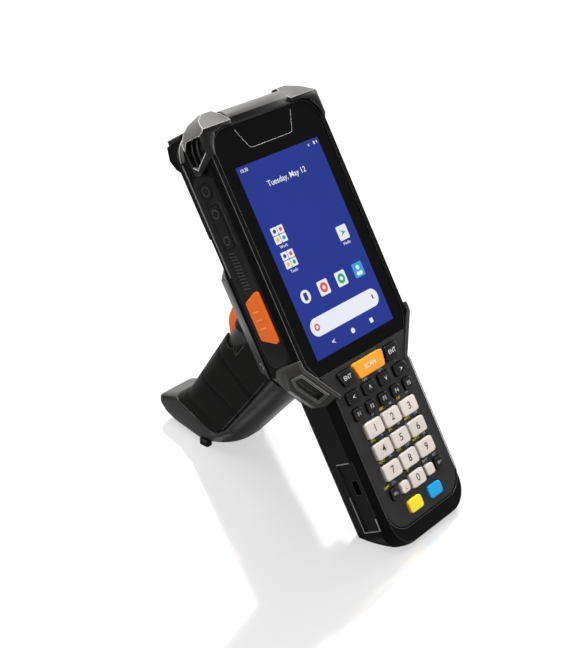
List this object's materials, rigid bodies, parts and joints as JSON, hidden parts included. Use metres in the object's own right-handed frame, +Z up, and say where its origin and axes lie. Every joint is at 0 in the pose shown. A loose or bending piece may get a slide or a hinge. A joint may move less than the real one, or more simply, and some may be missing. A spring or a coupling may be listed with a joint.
{
  "type": "barcode data terminal",
  "caption": "Handheld barcode data terminal with touch screen, numeric keypad, scan head, corner bumpers, strap ears and a pistol grip with a pull trigger.",
  "frame": {"origin": "on the surface it stands on, under the middle of its bounding box", "axes": "+X to the terminal's right as its user reads the screen, -Y the way the screen faces, +Z up; it stands on the end of its keypad and on the pads of its grip"},
  "size_m": [0.0858, 0.1734, 0.1843],
  "materials": {
    "shell_black": "satin moulded shell",
    "shell_grey": "satin moulded grey",
    "rubber_black": "matt",
    "cover_glass": "polished",
    "display": "lit display, shown blue",
    "scan_glass": "dark red tint",
    "plate_dark": "satin",
    "circuit_board": "solder mask",
    "inner_black": "moulded",
    "steel": "plain",
    "trigger_orange": "satin",
    "key_white": "satin",
    "key_amber": "satin",
    "key_yellow": "satin",
    "key_blue": "satin",
    "key_dark": "satin"
  },
  "bodies": {
    "terminal": {"battery_door": "shell_black", "battery_pack": "inner_black", "bumper_left": "shell_grey", "bumper_right": "shell_grey", "cradle_screws": "steel", "display_panel": "display", "ear_left": "shell_grey", "ear_right": "shell_grey", "foot_pads": "rubber_black", "front_housing": "shell_black", "grip_body": "shell_black", "grip_cradle": "shell_black", "grip_screws": "steel", "grip_sleeve": "rubber_black", "keypad_membrane": "rubber_black", "keypad_plate": "plate_dark", "main_board": "circuit_board", "rear_housing": "shell_black", "scan_engine": "inner_black", "scan_window": "scan_glass", "side_panel_left": "rubber_black", "side_panel_right": "rubber_black", "top_cap": "shell_grey", "touch_glass": "cover_glass", "trigger_pin": "steel", "trigger_spring": "steel", "trigger_switch": "inner_black"},
    "key_0": {"key_0": "key_white"},
    "key_1": {"key_1": "key_white"},
    "key_2": {"key_2": "key_white"},
    "key_3": {"key_3": "key_white"},
    "key_4": {"key_4": "key_white"},
    "key_5": {"key_5": "key_white"},
    "key_6": {"key_6": "key_white"},
    "key_7": {"key_7": "key_white"},
    "key_8": {"key_8": "key_white"},
    "key_9": {"key_9": "key_white"},
    "key_blue": {"key_blue": "key_blue"},
    "key_clear": {"key_clear": "key_white"},
    "key_down": {"key_down": "key_white"},
    "key_enter_left": {"key_enter_left": "key_dark"},
    "key_enter_right": {"key_enter_right": "key_dark"},
    "key_escape": {"key_escape": "key_dark"},
    "key_f1": {"key_f1": "key_dark"},
    "key_f2": {"key_f2": "key_dark"},
    "key_f3": {"key_f3": "key_dark"},
    "key_f4": {"key_f4": "key_dark"},
    "key_f5": {"key_f5": "key_dark"},
    "key_left": {"key_left": "key_white"},
    "key_point": {"key_point": "key_white"},
    "key_right": {"key_right": "key_white"},
    "key_scan": {"key_scan": "key_amber"},
    "key_shift": {"key_shift": "key_dark"},
    "key_up": {"key_up": "key_white"},
    "key_yellow": {"key_yellow": "key_yellow"},
    "side_trigger_left": {"side_trigger_left": "trigger_orange"},
    "side_trigger_right": {"side_trigger_right": "trigger_orange"},
    "power_key": {"power_key": "key_dark"},
    "volume_key": {"volume_key": "key_dark"},
    "grip_trigger": {"grip_trigger": "trigger_orange"}
  },
  "joints": [
    {"name": "key_0_press", "type": "slide", "parent": "terminal", "child": "key_0", "axis": [0, 0.8545, -0.5195], "range_m": [0, 0.0008], "stiffness_N_per_m": 800},
    {"name": "key_1_press", "type": "slide", "parent": "terminal", "child": "key_1", "axis": [0, 0.8545, -0.5195], "range_m": [0, 0.0008], "stiffness_N_per_m": 800},
    {"name": "key_2_press", "type": "slide", "parent": "terminal", "child": "key_2", "axis": [0, 0.8545, -0.5195], "range_m": [0, 0.0008], "stiffness_N_per_m": 800},
    {"name": "key_3_press", "type": "slide", "parent": "terminal", "child": "key_3", "axis": [0, 0.8545, -0.5195], "range_m": [0, 0.0008], "stiffness_N_per_m": 800},
    {"name": "key_4_press", "type": "slide", "parent": "terminal", "child": "key_4", "axis": [0, 0.8545, -0.5195], "range_m": [0, 0.0008], "stiffness_N_per_m": 800},
    {"name": "key_5_press", "type": "slide", "parent": "terminal", "child": "key_5", "axis": [0, 0.8545, -0.5195], "range_m": [0, 0.0008], "stiffness_N_per_m": 800},
    {"name": "key_6_press", "type": "slide", "parent": "terminal", "child": "key_6", "axis": [0, 0.8545, -0.5195], "range_m": [0, 0.0008], "stiffness_N_per_m": 800},
    {"name": "key_7_press", "type": "slide", "parent": "terminal", "child": "key_7", "axis": [0, 0.8545, -0.5195], "range_m": [0, 0.0008], "stiffness_N_per_m": 800},
    {"name": "key_8_press", "type": "slide", "parent": "terminal", "child": "key_8", "axis": [0, 0.8545, -0.5195], "range_m": [0, 0.0008], "stiffness_N_per_m": 800},
    {"name": "key_9_press", "type": "slide", "parent": "terminal", "child": "key_9", "axis": [0, 0.8545, -0.5195], "range_m": [0, 0.0008], "stiffness_N_per_m": 800},
    {"name": "key_blue_press", "type": "slide", "parent": "terminal", "child": "key_blue", "axis": [0, 0.8545, -0.5195], "range_m": [0, 0.0008], "stiffness_N_per_m": 800},
    {"name": "key_clear_press", "type": "slide", "parent": "terminal", "child": "key_clear", "axis": [0, 0.8545, -0.5195], "range_m": [0, 0.0008], "stiffness_N_per_m": 800},
    {"name": "key_down_press", "type": "slide", "parent": "terminal", "child": "key_down", "axis": [0, 0.8545, -0.5195], "range_m": [0, 0.0008], "stiffness_N_per_m": 800},
    {"name": "key_enter_left_press", "type": "slide", "parent": "terminal", "child": "key_enter_left", "axis": [0, 0.8545, -0.5195], "range_m": [0, 0.0008], "stiffness_N_per_m": 800},
    {"name": "key_enter_right_press", "type": "slide", "parent": "terminal", "child": "key_enter_right", "axis": [0, 0.8545, -0.5195], "range_m": [0, 0.0008], "stiffness_N_per_m": 800},
    {"name": "key_escape_press", "type": "slide", "parent": "terminal", "child": "key_escape", "axis": [0, 0.8545, -0.5195], "range_m": [0, 0.0008], "stiffness_N_per_m": 800},
    {"name": "key_f1_press", "type": "slide", "parent": "terminal", "child": "key_f1", "axis": [0, 0.8545, -0.5195], "range_m": [0, 0.0008], "stiffness_N_per_m": 800},
    {"name": "key_f2_press", "type": "slide", "parent": "terminal", "child": "key_f2", "axis": [0, 0.8545, -0.5195], "range_m": [0, 0.0008], "stiffness_N_per_m": 800},
    {"name": "key_f3_press", "type": "slide", "parent": "terminal", "child": "key_f3", "axis": [0, 0.8545, -0.5195], "range_m": [0, 0.0008], "stiffness_N_per_m": 800},
    {"name": "key_f4_press", "type": "slide", "parent": "terminal", "child": "key_f4", "axis": [0, 0.8545, -0.5195], "range_m": [0, 0.0008], "stiffness_N_per_m": 800},
    {"name": "key_f5_press", "type": "slide", "parent": "terminal", "child": "key_f5", "axis": [0, 0.8545, -0.5195], "range_m": [0, 0.0008], "stiffness_N_per_m": 800},
    {"name": "key_left_press", "type": "slide", "parent": "terminal", "child": "key_left", "axis": [0, 0.8545, -0.5195], "range_m": [0, 0.0008], "stiffness_N_per_m": 800},
    {"name": "key_point_press", "type": "slide", "parent": "terminal", "child": "key_point", "axis": [0, 0.8545, -0.5195], "range_m": [0, 0.0008], "stiffness_N_per_m": 800},
    {"name": "key_right_press", "type": "slide", "parent": "terminal", "child": "key_right", "axis": [0, 0.8545, -0.5195], "range_m": [0, 0.0008], "stiffness_N_per_m": 800},
    {"name": "key_scan_press", "type": "slide", "parent": "terminal", "child": "key_scan", "axis": [0, 0.8545, -0.5195], "range_m": [0, 0.0008], "stiffness_N_per_m": 800},
    {"name": "key_shift_press", "type": "slide", "parent": "terminal", "child": "key_shift", "axis": [0, 0.8545, -0.5195], "range_m": [0, 0.0008], "stiffness_N_per_m": 800},
    {"name": "key_up_press", "type": "slide", "parent": "terminal", "child": "key_up", "axis": [0, 0.8545, -0.5195], "range_m": [0, 0.0008], "stiffness_N_per_m": 800},
    {"name": "key_yellow_press", "type": "slide", "parent": "terminal", "child": "key_yellow", "axis": [0, 0.8545, -0.5195], "range_m": [0, 0.0008], "stiffness_N_per_m": 800},
    {"name": "side_trigger_left_press", "type": "slide", "parent": "terminal", "child": "side_trigger_left", "axis": [1, 0, 0], "range_m": [0, 0.0008], "stiffness_N_per_m": 800},
    {"name": "side_trigger_right_press", "type": "slide", "parent": "terminal", "child": "side_trigger_right", "axis": [-1, 0, 0], "range_m": [0, 0.0008], "stiffness_N_per_m": 800},
    {"name": "power_key_press", "type": "slide", "parent": "terminal", "child": "power_key", "axis": [1, 0, 0], "range_m": [0, 0.0008], "stiffness_N_per_m": 800},
    {"name": "volume_key_press", "type": "slide", "parent": "terminal", "child": "volume_key", "axis": [1, 0, 0], "range_m": [0, 0.0008], "stiffness_N_per_m": 800},
    {"name": "grip_trigger_pull", "type": "hinge", "parent": "terminal", "child": "grip_trigger", "pos_m": [0, 0.01438, 0.08801], "axis": [-1, 0, 0], "range_deg": [0, 7], "stiffness_Nm_per_rad": 0.4}
  ]
}
